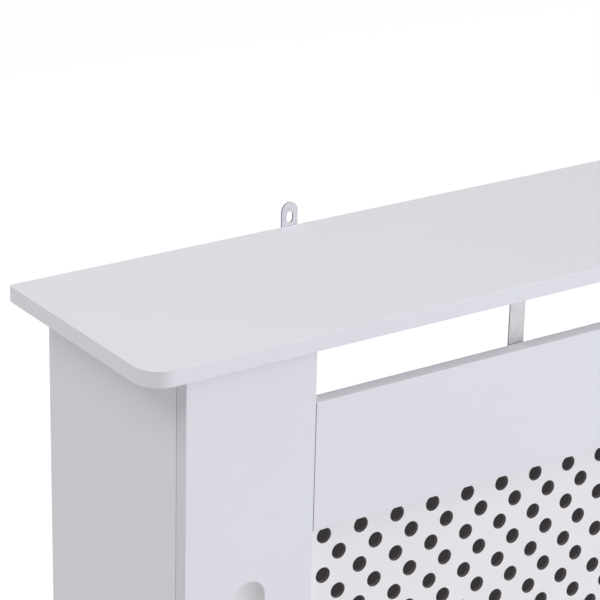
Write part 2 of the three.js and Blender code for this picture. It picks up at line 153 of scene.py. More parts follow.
def glossFrom(tree, factor, values):
    low, high = values["roughness"]
    given = {"Value": factor, "To Min": low, "To Max": high}
    return addNode(tree, "ShaderNodeMapRange", given).outputs["Result"]


def bumpFrom(tree, height, strength, depth):  # depth in mm
    given = {"Height": height, "Strength": strength, "Distance": depth * mm}
    return addNode(tree, "ShaderNodeBump", given).outputs["Normal"]


def lacquer(name, values):
    material, tree = newMaterial(name)
    place = objectPlace(tree)
    cloud = noiseAt(tree, place, values["cloud"], 3.0)
    peel = noiseAt(tree, place, values["peel"], 2.0)
    shader = addNode(tree, "ShaderNodeBsdfPrincipled", {
        "Base Color": shadeToColour(tree, cloud, values), "IOR": values["ior"],
        "Roughness": glossFrom(tree, cloud, values),
        "Normal": bumpFrom(tree, peel, values["peelStrength"], values["peelDepth"])})
    finishMaterial(tree, shader)
    return material


# sprayed satin lacquer on fibreboard: an even cool white with a soft, slightly rippled sheen
satinLacquer = lacquer("satin lacquer on fibreboard", {
    "colour": "#e9e9ec", "shade": "#e5e5e8", "cloud": 90, "peel": 1.6, "peelDepth": 0.02,
    "peelStrength": 0.25, "roughness": (0.36, 0.44), "ior": 1.48})

# the coat sinks into routed fibre: greyer, warmer and flatter than on the board's face; part of the
# darker grey is painted shade for the flute's hollow
routedCoatAndShade = lacquer("coat on routed fibre", {
    "colour": "#dadad8", "shade": "#d2d2d0", "cloud": 40, "peel": 0.9, "peelDepth": 0.03,
    "peelStrength": 0.35, "roughness": (0.5, 0.6), "ior": 1.46})

# the coat on a sawn upright edge: a shade greyer than the faces, so the edge reads as a line
sawnCoat = lacquer("coat on sawn fibre", {
    "colour": "#e1e0e3", "shade": "#dbdadd", "cloud": 60, "peel": 1.2, "peelDepth": 0.02,
    "peelStrength": 0.3, "roughness": (0.42, 0.5), "ior": 1.47})

# roller coat on perforated hardboard: whiter and flatter than the boards round it
rollerCoat = lacquer("roller coat on hardboard", {
    "colour": "#f4f2f0", "shade": "#efedec", "cloud": 60, "peel": 1.1, "peelDepth": 0.02,
    "peelStrength": 0.3, "roughness": (0.46, 0.55), "ior": 1.46})


core = {"dark": 0.35, "light": 0.7, "roughness": 0.85, "bump": 0.5, "depth": 0.1}


def pressedCore(name, values):
    material, tree = newMaterial(name)
    fibre = noiseAt(tree, objectPlace(tree), values["fibre"], 4.0, Roughness=0.7)
    tone = ramp(tree, fibre, (core["dark"], values["shade"]), (core["light"], values["colour"]))
    shader = addNode(tree, "ShaderNodeBsdfPrincipled", {
        "Base Color": tone, "Roughness": core["roughness"],
        "Normal": bumpFrom(tree, fibre, core["bump"], core["depth"])})
    finishMaterial(tree, shader)
    return material


# punched edge of hardboard: brown pressed fibre, dusted grey by the coat
punchedEdge = pressedCore("punched hardboard edge", {
    "colour": "#7b7070", "shade": "#534b4b", "fibre": 0.5})

# sawn fibreboard edge inside a joint: the coat stops there, so the joint line reads warm and dark
sawnEdge = pressedCore("sawn fibreboard edge", {
    "colour": "#8a6f5c", "shade": "#6b5445", "fibre": 0.4})


platingBump = 0.3  # how strongly the streaks show as relief


def platedSteel(name, values):
    material, tree = newMaterial(name)
    place = objectPlace(tree)
    stretched = addNode(tree, "ShaderNodeMapping", {"Vector": place, "Scale": values["streak"]})
    streaks = noiseAt(tree, stretched.outputs["Vector"], values["grain"], 4.0)
    spangle = noiseAt(tree, place, values["spangle"], 1.0)
    shader = addNode(tree, "ShaderNodeBsdfPrincipled", {
        "Base Color": shadeToColour(tree, spangle, values), "Metallic": 1.0,
        "Roughness": glossFrom(tree, streaks, values),
        "Normal": bumpFrom(tree, streaks, platingBump, values["depth"])})
    finishMaterial(tree, shader)
    return material


# zinc-plated mild steel strip, rolled: cool grey with faint upright streaks and a soft shine
rolledZinc = platedSteel("rolled zinc-plated strip", {
    "colour": "#e2e2e5", "shade": "#d0d0d4", "streak": (1.0, 1.0, 0.15), "grain": 0.8, "spangle": 6,
    "roughness": (0.28, 0.42), "depth": 0.02})

# the straps' plating: an even mid grey without the blue cast, darker than the bracket's as painted
# shade for the straps under the shelf
strapZincAndShade = platedSteel("dull zinc-plated strap", {
    "colour": "#c2c2c1", "shade": "#acacad", "streak": (1.0, 1.0, 0.15), "grain": 0.8, "spangle": 6,
    "roughness": (0.34, 0.48), "depth": 0.02})

# sheared edge of the strip: darker and duller than its faces
shearedEdge = platedSteel("sheared strip edge", {
    "colour": "#8f9196", "shade": "#77797f", "streak": (0.3, 0.3, 1.0), "grain": 0.5, "spangle": 3,
    "roughness": (0.45, 0.6), "depth": 0.03})

# bright zinc on turned screws: like the strip but crisper
brightZinc = platedSteel("bright zinc-plated screw steel", {
    "colour": "#cfd2d8", "shade": "#b9bcc4", "streak": (1.0, 1.0, 1.0), "grain": 0.5, "spangle": 3,
    "roughness": (0.2, 0.32), "depth": 0.01})

# tumbled zinc die-casting: matt grey with a fine pitted skin
castZinc = platedSteel("tumbled die-cast zinc", {
    "colour": "#b3b4b8", "shade": "#94959a", "streak": (1.0, 1.0, 1.0), "grain": 0.35, "spangle": 2,
    "roughness": (0.42, 0.6), "depth": 0.05})


def timber(name, values):
    material, tree = newMaterial(name)
    along = addNode(tree, "ShaderNodeMapping", {
        "Vector": objectPlace(tree), "Scale": values["along"]})
    grain = noiseAt(tree, along.outputs["Vector"], values["grain"], 5.0)
    tone = ramp(tree, grain, (0.3, values["dark"]), (0.65, values["light"]))
    shader = addNode(tree, "ShaderNodeBsdfPrincipled", {
        "Base Color": tone, "Roughness": values["roughness"],
        "Normal": bumpFrom(tree, grain, values["bump"], values["depth"])})
    finishMaterial(tree, shader)
    return material


# turned beech: pale tan with short darker flecks along the dowel
bareBeech = timber("bare beech", {
    "light": "#d3ae80", "dark": "#b48a5c", "along": (0.12, 1.0, 1.0), "grain": 0.7,
    "roughness": 0.65, "bump": 0.3, "depth": 0.05})
print("materials made")


# ---- making and joining meshes

def camelName(node):
    first, *rest = node.split("_")
    return first + "".join(word.capitalize() for word in rest)


def pieceFrom(name, mesh, *materials):
    mesh.materials.clear()
    for material in materials:
        mesh.materials.append(material)
    piece = bpy.data.objects.new(name, mesh)
    scene.collection.objects.link(piece)
    return piece


def meshFrom(name, shape):
    mesh = bpy.data.meshes.new(name)
    shape.to_mesh(mesh)
    shape.free()
    return mesh


def bakeModifiers(piece):  # turns the piece's modifiers into its plain mesh
    bpy.context.view_layer.update()
    evaluated = piece.evaluated_get(bpy.context.evaluated_depsgraph_get())
    mesh = bpy.data.meshes.new_from_object(evaluated)
    piece.modifiers.clear()
    piece.data = mesh
    return piece


def sweep(start, degrees, steps):  # evenly spaced angles, given in degrees, as radians
    return [math.radians(start + degrees * i / steps) for i in range(steps + 1)]


def ring(shape, radius, height, sides, middle=(0, 0)):
    angles = [2 * math.pi * i / sides for i in range(sides)]
    return [shape.verts.new((middle[0] + radius * math.cos(a), middle[1] + radius * math.sin(a),
                             height)) for a in angles]


def extrudeOutline(outline, lift):
    # outline: the corner points of one face; lift: the vector to the opposite face
    shape = bmesh.new()
    face = shape.faces.new([shape.verts.new(point) for point in outline])
    far = bmesh.ops.extrude_face_region(shape, geom=[face])
    farVerts = [part for part in far["geom"] if isinstance(part, bmesh.types.BMVert)]
    bmesh.ops.translate(shape, vec=lift, verts=farVerts)
    bmesh.ops.recalc_face_normals(shape, faces=shape.faces)
    return shape


# from how many degrees on an edge is rounded, and from how many it stays sharp when shaded
sharpFrom = {"round": 30, "board": 40, "small": 35, "grille": 50}


def roundEdges(shape, radius, segments):
    sharper = math.radians(sharpFrom["round"])
    sharp = [e for e in shape.edges if len(e.link_faces) == 2 and e.calc_face_angle() > sharper]
    bmesh.ops.bevel(shape, geom=sharp, offset=radius, segments=segments, profile=0.5,
                    affect="EDGES", clamp_overlap=True)


def smoothFaces(piece, sharper=sharpFrom["board"]):  # flat faces stay flat, round ones look round
    for polygon in piece.data.polygons:
        polygon.use_smooth = True
    piece.data.set_sharp_from_angle(angle=math.radians(sharper))
    even = piece.modifiers.new("even", "WEIGHTED_NORMAL")
    even.keep_sharp = True
    return bakeModifiers(piece)


def cutAway(piece, cutters):  # each cutter is a bmesh, and they are joined and cut at once
    joined = bpy.data.meshes.new("cutters")
    whole = bmesh.new()
    for cutter in cutters:
        part = bpy.data.meshes.new("cutter")
        cutter.to_mesh(part)
        cutter.free()
        whole.from_mesh(part)
        bpy.data.meshes.remove(part)
    whole.to_mesh(joined)
    whole.free()
    tool = bpy.data.objects.new("cutters", joined)
    scene.collection.objects.link(tool)
    cut = piece.modifiers.new("cut", "BOOLEAN")
    cut.operation = "DIFFERENCE"
    cut.object = tool
    cut.solver = "EXACT"
    cut.use_self = True
    bakeModifiers(piece)
    bpy.data.objects.remove(tool)
    bpy.data.meshes.remove(joined)
    return piece


def rod(start, end, radius, sides=32):
    shape = bmesh.new()
    axis = end - start
    turn = Vector((0, 0, 1)).rotation_difference(axis).to_matrix().to_4x4()
    place = Matrix.Translation((start + end) / 2) @ turn
    bmesh.ops.create_cone(shape, cap_ends=True, segments=sides, radius1=radius, radius2=radius,
                          depth=axis.length, matrix=place)
    return shape


onePoint = 0.0001 * mm  # a ring smaller than this is a single point


def lathe(profile, sides):  # turns (radius, height) points about Z
    shape = bmesh.new()
    rings = []
    for radius, height in profile:
        if radius < onePoint:
            rings.append([shape.verts.new((0, 0, height))] * sides)
        else:
            rings.append(ring(shape, radius, height, sides))
    for below, above in zip(rings, rings[1:]):
        for i in range(sides):
            j = (i + 1) % sides
            corners = dict.fromkeys((below[i], below[j], above[j], above[i]))
            if len(corners) > 2:
                shape.faces.new(corners)
    bmesh.ops.recalc_face_normals(shape, faces=shape.faces)
    return shape


def longAxis(node):  # the middle, half length, radius and direction index of a slender node
    low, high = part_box(node)
    size = high - low
    index = max(range(3), key=lambda i: size[i])
    return (low + high) / 2, size[index] / 2, min(size) / 2, index


def unit(index, sign=1):
    direction = Vector((0, 0, 0))
    direction[index] = sign
    return direction


# the boards and strips are bored for the screws, so the screws' sizes stand here
screw = {
    "shank": 3.5,
    "root": 2.5,
    "pitch": 1.35,
    "flank": 0.3,  # share of the pitch from the crest to the root
    "tip": 1.2,  # from the end to the first crest
    "tipWidth": 0.15,  # share of the shank
    "head": 7.0,
    "headHeight": 2.2,
    "headRim": (0.3, 0.25),  # the broken edge under the head, mm
    "rimShare": 0.35,  # share of the head's height under its dome
    "dome": 0.55,  # the lower, the fuller
    "domeSteps": 8,
    "cross": 3.6,  # length of the cross recess
    "crossTaper": 0.6,
    "blade": 0.9,
    "crossDepth": 1.5,
    "sides": 40,
}


def borings(nodes, spare):  # a clear hole round each fastener
    cutters = []
    for node in nodes:
        middle, half, radius, index = longAxis(node)
        if node in screwNodes:
            radius = screw["shank"] / 2 * mm
        if node in camNodes:  # a cam is wider than it is long, and lies along X
            index, half, radius = 0, radius, half
        reach = unit(index) * (half + spare)
        cutters.append(rod(middle - reach, middle + reach, radius + spare))
    return cutters


# ---- boards

boardFinish = {
    "shelfEdgeRound": 0.35,  # every edge is just broken, mm
    "edgeRound": 0.55,
    "edgeSteps": 3,
    "boreSpare": 0.3,  # mm round every fastener
    "shelfFrontRadius": 20.0,
    "shelfRearRadius": 3.0,
    "cornerSteps": 24,
    "fluteWidth": 26.0,
    "fluteDepth": 3.5,
    "fluteEnds": (163.0, 640.0),  # height of its lower and upper tips, mm
    "fluteSteps": 24,
    "nearby": 0.2,  # a face this close to a plane, in mm, belongs to it
    "square": 0.9,  # how far a face's normal points along an axis to count as square to it
}


def reaching(node, candidates):  # the candidates whose boxes touch the node's box
    low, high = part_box(node)
    boxes = {other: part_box(other) for other in candidates}
    return [other for other, box in boxes.items()
            if all(box[0][i] < high[i] and box[1][i] > low[i] for i in range(3))]


def dressBoard(node, shape, extraCutters=(), edgeRound=boardFinish["edgeRound"]):
    roundEdges(shape, edgeRound * mm, boardFinish["edgeSteps"])
    name = camelName(node)
    piece = pieceFrom(name, meshFrom(name, shape), satinLacquer)
    spare = boardFinish["boreSpare"] * mm
    fasteners = reaching(node, screwNodes + boltNodes + dowelNodes + camNodes)
    cutAway(piece, borings(fasteners, spare) + list(extraCutters))
    smoothFaces(piece)
    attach(piece, "cabinet")
    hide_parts(node)
    return piece


def boxShape(node):
    low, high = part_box(node)
    outline = [(low.x, low.y, low.z), (high.x, low.y, low.z), (high.x, low.y, high.z),
               (low.x, low.y, high.z)]
    return extrudeOutline(outline, Vector((0, high.y - low.y, 0)))


def shelfShape():
    low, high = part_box("top_shelf")
    front = boardFinish["shelfFrontRadius"] * mm
    rear = boardFinish["shelfRearRadius"] * mm
    corners = [((low.x + front, low.y + front), front, 180),
               ((high.x - front, low.y + front), front, 270),
               ((high.x - rear, high.y - rear), rear, 0), ((low.x + rear, high.y - rear), rear, 90)]
    outline = [(centre[0] + radius * math.cos(a), centre[1] + radius * math.sin(a), low.z)
               for centre, radius, start in corners
               for a in sweep(start, 90, boardFinish["cornerSteps"])]
    return extrudeOutline(outline, Vector((0, 0, high.z - low.z)))


def sideShape(node):
    low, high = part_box(node)
    notchLow, notchHigh = skirtingNotch()
    outline = [(low.x, low.y, low.z), (low.x, notchLow, low.z), (low.x, notchLow, notchHigh),
               (low.x, high.y, notchHigh), (low.x, high.y, high.z), (low.x, low.y, high.z)]
    return extrudeOutline(outline, Vector((high.x - low.x, 0, 0)))


def skirtingNotch():  # where the side panels' lower rear corner is cut back to, from the frame
    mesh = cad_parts["left_side_panel"].data
    low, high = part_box("left_side_panel")
    nearby = boardFinish["nearby"] * mm
    foot = [v.co for v in mesh.vertices if v.co.z < low.z + nearby]
    rear = [v.co for v in mesh.vertices if v.co.y > high.y - nearby]
    return max(co.y for co in foot), min(co.z for co in rear)


def fluteCutter(node):  # a long round-ended cutter sunk into the stile's face
    low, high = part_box(node)
    halfWidth = boardFinish["fluteWidth"] / 2 * mm
    depth = boardFinish["fluteDepth"] * mm
    radius = (halfWidth ** 2 + depth ** 2) / (2 * depth)
    lower, upper = (height * mm for height in boardFinish["fluteEnds"])
    steps = boardFinish["fluteSteps"]
    profile = []
    for end, first in ((lower + halfWidth, -90), (upper - halfWidth, 0)):
        profile += [(radius * math.cos(a), end + radius * math.sin(a))
                    for a in sweep(first, 90, steps)]
    shape = lathe(profile, 6 * steps)
    place = ((low.x + high.x) / 2, low.y + depth - radius, 0)
    bmesh.ops.translate(shape, vec=place, verts=shape.verts)
    return shape


def markSawn(piece, axis, *ends):  # the flat ends, along an axis, that butt on another board
    piece.data.materials.append(sawnEdge)
    nearby = boardFinish["nearby"] * mm
    for polygon in piece.data.polygons:
        atEnd = any(abs(polygon.center[axis] - end) < nearby for end in ends)
        if atEnd and abs(polygon.normal[axis]) > boardFinish["square"]:
            polygon.material_index = 1


def markCoats(piece, node):  # the flute and the upright edges, told by their places
    low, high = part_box(node)
    middle = (low.x + high.x) / 2
    lower, upper = (height * mm for height in boardFinish["fluteEnds"])
    onFace, onEdge = 0.001 * mm, 0.1 * mm  # a face this near to the front or to an edge is on it
    deepest = boardFinish["fluteDepth"] * mm + onEdge
    piece.data.materials.append(routedCoatAndShade)
    piece.data.materials.append(sawnCoat)
    for polygon in piece.data.polygons:
        x, y, z = polygon.center
        inside = abs(x - middle) < boardFinish["fluteWidth"] / 2 * mm and lower < z < upper
        if min(x - low.x, high.x - x) < onEdge:
            polygon.material_index = 2
        # the flute's faces take the routed coat, partly painted shade
        elif inside and onFace < y - low.y < deepest:
            polygon.material_index = 1


dressBoard("top_shelf", shelfShape(), edgeRound=boardFinish["shelfEdgeRound"])
for hand in hands:
    side, post = f"{hand}_side_panel", f"{hand}_stile"
    markSawn(dressBoard(side, sideShape(side)), 1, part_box(side)[0].y)
    markCoats(dressBoard(post, boxShape(post), extraCutters=[fluteCutter(post)]), post)

for node in ("top_rail", "bottom_rail"):
    markSawn(dressBoard(node, boxShape(node)), 0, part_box(node)[0].x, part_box(node)[1].x)
print("boards made")


# ---- perforated grille panel

grille = {
    "holeDiameter": 11.9,
    "edgeRound": 0.25,  # the coat's lip at each hole, mm
    "columnPitch": 32.22,
    "rowPitch": 15.84,
    "stagger": 13.5,  # sideways shift of every second row, mm
    "firstHole": (123.4, 151.6),  # from the cabinet's left side and from the shelf's underside, mm
    "columns": 26,
    "rows": 31,
    "sides": 24,
    "weld": 0.002,  # points this close are one, mm
}


def newGeometryTree(name, inputs):  # inputs: kinds of socket, each with the names of its inputs
    tree = bpy.data.node_groups.new(name, "GeometryNodeTree")
    sockets = tree.interface
    sockets.new_socket(name="Geometry", in_out="OUTPUT", socket_type="NodeSocketGeometry")
    for kind, labels in inputs.items():
        for label in labels:
            sockets.new_socket(name=label, in_out="INPUT", socket_type="NodeSocket" + kind)
    return tree, addNode(tree, "NodeGroupInput").outputs


def joinAll(tree, *sources):
    both = addNode(tree, "GeometryNodeJoinGeometry")
    for source in sources:
        tree.links.new(source, both.inputs[0])
    return both.outputs[0]


def realised(tree, points, instance, **more):  # real copies of a thing at every point
    copies = addNode(tree, "GeometryNodeInstanceOnPoints", {
        "Points": points, "Instance": instance, **more})
    real = addNode(tree, "GeometryNodeRealizeInstances", {"Geometry": copies.outputs[0]})
    return real.outputs[0]


def coated(tree, geometry, material):
    given = {"Geometry": geometry, "Material": material}
    return addNode(tree, "GeometryNodeSetMaterial", given).outputs[0]


def runNodes(piece, tree, values):
    modifier = piece.modifiers.new(tree.name, "NODES")
    modifier.node_group = tree
    for item in tree.interface.items_tree:
        if item.in_out == "INPUT" and item.name in values:
            modifier[item.identifier] = values[item.name]
    return bakeModifiers(piece)


def perforationTree():
    tree, given = newGeometryTree("perforations", {
        "Geometry": ("Screw Points",),
        "Float": ("Width", "Height", "Thickness", "Front Radius", "Rear Radius", "Column Pitch",
                  "Row Pitch", "Stagger", "First X", "First Z", "Screw Radius"),
        "Int": ("Columns", "Rows", "Sides"),
        "Object": ("Sleeve",),
        "Material": ("Sheet Material", "Edge Material")})

    def math_(operation, first, second=0.0):
        return mathNode(tree, operation, first, second)

    # one point for each hole, row by row from the top left
    index = addNode(tree, "GeometryNodeInputIndex").outputs[0]
    row = math_("FLOOR", math_("DIVIDE", math_("ADD", index, 0.5), given["Columns"]))
    column = math_("SUBTRACT", index, math_("MULTIPLY", row, given["Columns"]))
    odd = math_("MODULO", row, 2.0)
    across = math_("ADD", math_("MULTIPLY", column, given["Column Pitch"]),
                   math_("MULTIPLY", odd, given["Stagger"]))
    place = addNode(tree, "ShaderNodeCombineXYZ", {
        "X": math_("ADD", given["First X"], across),
        "Y": math_("SUBTRACT", given["First Z"], math_("MULTIPLY", row, given["Row Pitch"]))})
    points = addNode(tree, "GeometryNodePoints", {
        "Count": math_("MULTIPLY", given["Columns"], given["Rows"]),
        "Position": place.outputs[0]}).outputs[0]
    outline = addNode(tree, "GeometryNodeCurvePrimitiveQuadrilateral", {
        "Width": given["Width"], "Height": given["Height"]}).outputs[0]

    def ringsAt(places, radius):
        circle = addNode(tree, "GeometryNodeCurvePrimitiveCircle", {
            "Resolution": given["Sides"], "Radius": radius})
        return realised(tree, places, circle.outputs[0])

    screwRings = ringsAt(given["Screw Points"], given["Screw Radius"])

    def sheetFace(radius, depth):
        curves = joinAll(tree, ringsAt(points, radius), screwRings, outline)
        filled = addNode(tree, "GeometryNodeFillCurve", {"Curve": curves})
        shift = addNode(tree, "ShaderNodeCombineXYZ", {"Z": depth})
        return addNode(tree, "GeometryNodeTransform", {
            "Geometry": filled.outputs[0], "Translation": shift.outputs[0]}).outputs[0]

    front = sheetFace(given["Front Radius"], 0.0)
    rear = sheetFace(given["Rear Radius"], math_("MULTIPLY", given["Thickness"], -1.0))
    sheet = coated(tree, joinAll(tree, front, rear), given["Sheet Material"])
    sleeve = addNode(tree, "GeometryNodeObjectInfo", {"Object": given["Sleeve"]})
    sleeves = realised(tree, points, sleeve.outputs["Geometry"])
    punched = coated(tree, sleeves, given["Edge Material"])
    merged = addNode(tree, "GeometryNodeMergeByDistance", {
        "Geometry": joinAll(tree, sheet, punched), "Distance": grille["weld"] * mm})
    addNode(tree, "NodeGroupOutput", {"Geometry": merged.outputs[0]})
    return tree


def addTube(shape, rings, sides, middle=(0, 0)):  # rings of (radius, height), open at both ends
    loops = [ring(shape, radius, height, sides, middle) for radius, height in rings]
    for upper, lower in zip(loops, loops[1:]):
        for i in range(sides):
            j = (i + 1) % sides
            shape.faces.new((upper[i], upper[j], lower[j], lower[i]))


def makeGrille():
    low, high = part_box("grille_panel")
    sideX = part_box("left_side_panel")[0].x
    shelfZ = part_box("top_shelf")[0].z
    middle = (low + high) / 2
    radius = grille["holeDiameter"] / 2 * mm
    lip = grille["edgeRound"] * mm
    thickness = high.y - low.y
    width, height = high.x - low.x, high.z - low.z

    half = 1 - math.sqrt(0.5)  # where a quarter round stands at 45 degrees
    rings = [(radius + lip, 0), (radius + lip * half, -lip * half), (radius, -lip),
             (radius, -thickness)]
    tube = bmesh.new()
    addTube(tube, rings, grille["sides"])
    sleeve = pieceFrom("sleeve", meshFrom("sleeve", tube), punchedEdge)

    screwRadius = (screw["shank"] / 2 + boardFinish["boreSpare"]) * mm
    seats = []
    for node in reaching("grille_panel", screwNodes):
        screwMiddle = longAxis(node)[0]
        seats.append((screwMiddle.x - middle.x, screwMiddle.z - middle.z, 0))
    points = bpy.data.meshes.new("grillePanel")
    points.from_pydata(seats, [], [])
    piece = pieceFrom("grillePanel", points, rollerCoat)
    firstX, firstDrop = grille["firstHole"]
    runNodes(piece, perforationTree(), {
        "Width": width, "Height": height, "Thickness": thickness, "Screw Radius": screwRadius,
        "Front Radius": radius + lip, "Rear Radius": radius,
        "Column Pitch": grille["columnPitch"] * mm, "Row Pitch": grille["rowPitch"] * mm,
        "Stagger": grille["stagger"] * mm, "First X": sideX + firstX * mm - middle.x,
        "First Z": shelfZ - firstDrop * mm - middle.z, "Columns": grille["columns"],
        "Rows": grille["rows"], "Sides": grille["sides"], "Sleeve": sleeve,
        "Sheet Material": rollerCoat, "Edge Material": punchedEdge})
    bpy.data.objects.remove(sleeve)

    shape = bmesh.new()
    shape.from_mesh(piece.data)
    corners = [(-width / 2, -height / 2), (width / 2, -height / 2), (width / 2, height / 2),
               (-width / 2, height / 2)]
    near = [shape.verts.new((x, y, 0)) for x, y in corners]
    far = [shape.verts.new((x, y, -thickness)) for x, y in corners]
    for i in range(4):
        j = (i + 1) % 4
        shape.faces.new((near[i], far[i], far[j], near[j]))
    for seat in seats:
        addTube(shape, [(screwRadius, 0), (screwRadius, -thickness)], grille["sides"], seat)
    bmesh.ops.remove_doubles(shape, verts=shape.verts, dist=grille["weld"] * mm)
    upright = Matrix.Rotation(math.pi / 2, 4, "X")
    upright.translation = (middle.x, low.y, middle.z)
    bmesh.ops.transform(shape, matrix=upright, verts=shape.verts)
    bmesh.ops.recalc_face_normals(shape, faces=shape.faces)
    openEdges = sum(1 for e in shape.edges if len(e.link_faces) != 2)
    shape.to_mesh(piece.data)
    shape.free()
    piece.data.set_sharp_from_angle(angle=math.radians(sharpFrom["grille"]))
    edgeSlot = list(piece.data.materials).index(punchedEdge)
    for polygon in piece.data.polygons:  # the sheet is flat, and only the holes' edges are smooth
        polygon.use_smooth = polygon.material_index == edgeSlot
    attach(piece, "cabinet")
    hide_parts("grille_panel")
    print("grille faces", len(piece.data.polygons), "open edges", openEdges)


makeGrille()
print("grille made")


# ---- strip metal

strip = {
    "strapThickness": 1.2,
    "bracketThickness": 1.5,
    "bendRadius": 0.6,  # inside every bend, mm
    "bendSteps": 8,
    "edgeRound": 0.22,
    "footRadius": 3.0,  # corners of a leg's free end
    "slot": (5.5, 9.0),  # the wall bracket's slot, width and length
    "slotRise": 6.7,  # its middle above the shelf
    "bracketTip": 7.1,  # radius of the bracket's round top
    "arcSteps": 24,
    "spare": 2.0,  # how far a cutter reaches past the metal
    "slotReach": 4.0,  # how far the slot's cutter reaches to both sides
    "edgeOn": 0.3,  # a face whose normal is less than this across its leg is a sheared end
    "sideways": 0.5,  # a face whose normal is more than this along X is a sheared side
}


def angleShape(low, high, across, up, thick):
    # an L of strip: its outer corner is low or high in Y (across) and in Z (up), -1 or 1
    inner = strip["bendRadius"] * mm
    outer = inner + thick
    legs = (high.y - low.y, high.z - low.z)
    corner = (low.y if across > 0 else high.y, low.z if up > 0 else high.z)
    turns = sweep(0, 90, strip["bendSteps"])
    outline = [(legs[0], 0), (legs[0], thick)]
    outline += [(outer - inner * math.sin(a), outer - inner * math.cos(a)) for a in turns]
    outline += [(thick, legs[1]), (0, legs[1])]
    outline += [(outer - outer * math.cos(a), outer - outer * math.sin(a)) for a in turns]
    points = [(low.x, corner[0] + across * u, corner[1] + up * v) for u, v in outline]
    return extrudeOutline(points, Vector((high.x - low.x, 0, 0)))


def endCutter(low, high, axis, sign, radius):  # what is cut from a leg's free end to round it
    half = (high.x - low.x) / 2
    middle = (low.x + high.x) / 2
    tip = high[axis] if sign > 0 else low[axis]
    spare = strip["spare"] * mm
    turns = sweep(0, 90, strip["arcSteps"])
    edge = [(-half - spare, -radius)]
    edge += [(-half + radius - radius * math.cos(a), -radius + radius * math.sin(a))
             for a in turns]
    edge += [(half - radius + radius * math.sin(a), -radius + radius * math.cos(a))
             for a in turns]
    edge += [(half + spare, -radius), (half + spare, spare), (-half - spare, spare)]
    through = 3 - axis
    outline = []
    for x, along in edge:
        point = Vector((middle + x, 0, 0))
        point[axis] = tip + sign * along
        point[through] = low[through] - spare
        outline.append(point)
    return extrudeOutline(outline, unit(through) * (high[through] - low[through] + 2 * spare))


def markSheared(piece, corner, bend):  # corner: the Y and Z of the outer corner of the bend
    for polygon in piece.data.polygons:
        x, y, z = (abs(part) for part in polygon.normal)
        onUpright = abs(polygon.center.z - corner[1]) > bend and y < strip["edgeOn"]
        onFoot = abs(polygon.center.y - corner[0]) > bend and z < strip["edgeOn"]
        if x > strip["sideways"] or onUpright or onFoot:
            polygon.material_index = 1


def dressStrip(node, shape, cutters, corner, thick, metal):
    name = camelName(node)
    piece = pieceFrom(name, meshFrom(name, shape), metal, shearedEdge)
    cutAway(piece, cutters + borings(reaching(node, screwNodes), boardFinish["boreSpare"] * mm))
    rounded = bmesh.new()
    rounded.from_mesh(piece.data)
    roundEdges(rounded, strip["edgeRound"] * mm, 2)
    rounded.to_mesh(piece.data)
    rounded.free()
    smoothFaces(piece)
    markSheared(piece, corner, thick + strip["bendRadius"] * mm)
    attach(piece, "cabinet")
    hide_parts(node)


def makeStrap(hand):
    node = f"{hand}_shelf_strap"
    low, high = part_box(node)
    foot = strip["footRadius"] * mm
    cutters = [endCutter(low, high, 2, -1, foot), endCutter(low, high, 1, 1, foot)]
    thick = strip["strapThickness"] * mm
    # the straps take the darker plating, partly painted shade
    dressStrip(node, angleShape(low, high, 1, -1, thick), cutters, (low.y, high.z), thick, strapZincAndShade)


def makeBracket(hand):
    node = f"{hand}_wall_bracket"
    low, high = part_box(node)
    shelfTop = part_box("top_shelf")[1].z
    middle = (low.x + high.x) / 2
    width, length = (size * mm for size in strip["slot"])
    rise = shelfTop + strip["slotRise"] * mm
    straight = (length - width) / 2
    front = high.y - strip["slotReach"] * mm
    slot = [(middle + sign * width / 2 * math.cos(a), front,
             rise + sign * (straight + width / 2 * math.sin(a)))
            for sign in (1, -1) for a in sweep(0, 180, strip["arcSteps"])]
    cutters = [extrudeOutline(slot, Vector((0, 2 * strip["slotReach"] * mm, 0))),
               endCutter(low, high, 2, 1, strip["bracketTip"] * mm),
               endCutter(low, high, 1, -1, strip["footRadius"] * mm)]
    thick = strip["bracketThickness"] * mm
    dressStrip(node, angleShape(low, high, -1, 1, thick), cutters, (high.y, low.z), thick,
               rolledZinc)


for hand in hands:
    makeStrap(hand)
    makeBracket(hand)
print("strip metal made")


# ---- screws

def screwShape(length):
    head, shank, height = (screw[key] * mm for key in ("head", "shank", "headHeight"))
    root, pitch = screw["root"] / 2 * mm, screw["pitch"] * mm
    flank = pitch * screw["flank"]
    rimIn, rimUp = (size * mm for size in screw["headRim"])
    profile = [(0, -length), (shank * screw["tipWidth"], -length)]
    level = -length + screw["tip"] * mm
    while level < -pitch:
        profile += [(root, level - flank), (shank / 2, level), (root, level + flank)]
        level += pitch
    profile += [(root, -rimIn), (root, 0), (head / 2 - rimIn, 0), (head / 2, rimUp)]
    rim, dome = screw["rimShare"], screw["dome"]
    profile += [(head / 2 * math.cos(a) ** dome, height * (rim + (1 - rim) * math.sin(a)))
                for a in sweep(0, 90, screw["domeSteps"])]
    profile[-1] = (0, height)
    return lathe(profile, screw["sides"])


def crossCutters(length, width, depth, top, taper):  # taper: the floor's share of the size
    cutters = []
    for turn in (0, 90):
        blade = bmesh.new()
        bmesh.ops.create_cube(blade, size=1.0)
        for vert in blade.verts:
            low = vert.co.z < 0
            shrink = taper if low else 1.0
            vert.co = Vector((vert.co.x * length * shrink, vert.co.y * width * shrink,
                              top - depth if low else top + 1 * mm))
        turned = Matrix.Rotation(math.radians(turn), 3, "Z")
        bmesh.ops.rotate(blade, matrix=turned, verts=blade.verts)
        cutters.append(blade)
    return cutters


